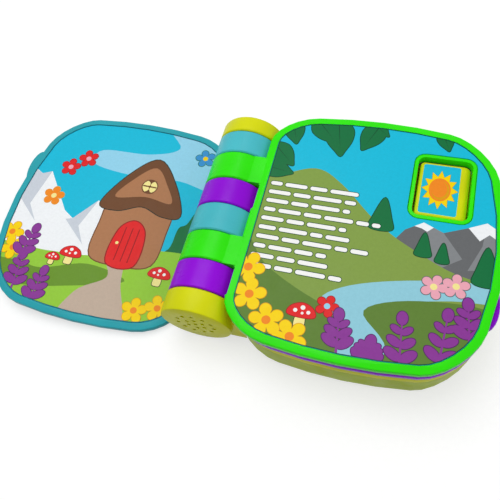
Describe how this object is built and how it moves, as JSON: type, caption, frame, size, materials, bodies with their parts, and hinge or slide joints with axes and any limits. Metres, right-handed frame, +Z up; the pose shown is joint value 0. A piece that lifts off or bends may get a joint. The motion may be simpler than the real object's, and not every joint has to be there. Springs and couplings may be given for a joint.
{
  "type": "electronic sound book",
  "caption": "Chunky moulded toddler's sound book lying open: thick turning leaves on a fat round spine, a speaker grille, and a deep base with a picture push button.",
  "frame": {"origin": "bottom centre of the open book's box: mid-width, mid-length of the spine, on the surface that it lies on", "axes": "+X across the open book from the opened cover to the base, +Y along the spine towards the head of the page, +Z up"},
  "size_m": [0.408, 0.1982, 0.056],
  "materials": {
    "teal_plastic": "glossy moulded plastic, teal",
    "green_plastic": "glossy moulded plastic, bright green",
    "purple_plastic": "glossy moulded plastic, violet",
    "lime_plastic": "satin moulded plastic, yellow-green",
    "olive_plastic": "satin moulded plastic, yellow-green in shade",
    "sky_print": "printed and laminated picture sheet, mostly sky blue",
    "meadow_print": "printed and laminated picture sheet, mostly meadow green",
    "cover_print": "printed and laminated picture sheet for the cover",
    "black_plastic": "black moulded plastic",
    "grey_plastic": "grey plastic",
    "white_plastic": "white plastic",
    "board_green": "green lacquered circuit board",
    "steel": "plated steel",
    "dark_steel": "dark coated steel",
    "cone_paper": "black speaker paper",
    "cell_wrap": "plain wrapped battery can"
  },
  "bodies": {
    "housing": {"base_tray": "olive_plastic", "base_deck": "lime_plastic", "deck_label": "meadow_print", "spine_end_near": "lime_plastic", "spine_end_far": "lime_plastic", "spine_core": "white_plastic", "sun_button_spring": "steel", "speaker_frame": "dark_steel", "speaker_cone": "cone_paper", "speaker_magnet": "dark_steel", "circuit_board": "board_green", "dome_switch": "black_plastic", "sound_chip": "black_plastic", "sun_led": "white_plastic", "capacitor": "grey_plastic", "battery_1": "cell_wrap", "contact_spring_1": "steel", "battery_2": "cell_wrap", "contact_spring_2": "steel", "battery_3": "cell_wrap", "contact_spring_3": "steel", "contact_plate_1": "steel", "contact_plate_2": "steel", "battery_door": "olive_plastic", "battery_door_screw": "steel", "case_screw_1": "steel", "case_screw_2": "steel", "case_screw_3": "steel", "case_screw_4": "steel", "power_switch_body": "grey_plastic"},
    "teal_cover": {"teal_leaf": "teal_plastic", "teal_ring_near": "teal_plastic", "teal_ring_far": "teal_plastic", "teal_inner_label": "sky_print", "teal_cover_label": "cover_print"},
    "purple_page": {"purple_leaf": "purple_plastic", "purple_ring_near": "purple_plastic", "purple_ring_far": "purple_plastic", "purple_window_frame": "purple_plastic", "purple_front_label": "meadow_print", "purple_back_label": "sky_print"},
    "green_page": {"green_leaf": "green_plastic", "green_ring_near": "green_plastic", "green_ring_far": "green_plastic", "green_window_frame": "green_plastic", "green_front_label": "meadow_print", "green_back_label": "sky_print"},
    "sun_push_button": {"sun_button": "lime_plastic", "sun_label": "sky_print"},
    "slide_switch": {"power_slider": "black_plastic"}
  },
  "joints": [
    {"name": "cover_hinge", "type": "hinge", "parent": "housing", "child": "teal_cover", "pos_m": [-0.00019, 0, 0.029], "axis": [0, 1, 0], "range_deg": [0, 176.5]},
    {"name": "purple_page_hinge", "type": "hinge", "parent": "housing", "child": "purple_page", "pos_m": [-0.00019, 0, 0.029], "axis": [0, 1, 0], "range_deg": [-176.5, 0]},
    {"name": "green_page_hinge", "type": "hinge", "parent": "purple_page", "child": "green_page", "pos_m": [-0.00019, 0, 0.029], "axis": [0, -1, 0], "range_deg": [0, 176.5]},
    {"name": "sun_button_press", "type": "slide", "parent": "housing", "child": "sun_push_button", "axis": [0, 0, -1], "range_m": [0, 0.0025], "stiffness_N_per_m": 300, "springref_m": -0.003, "deforming": ["sun_button_spring"]},
    {"name": "power_slide", "type": "slide", "parent": "housing", "child": "slide_switch", "axis": [1, 0, 0], "range_m": [0, 0.004]}
  ]
}
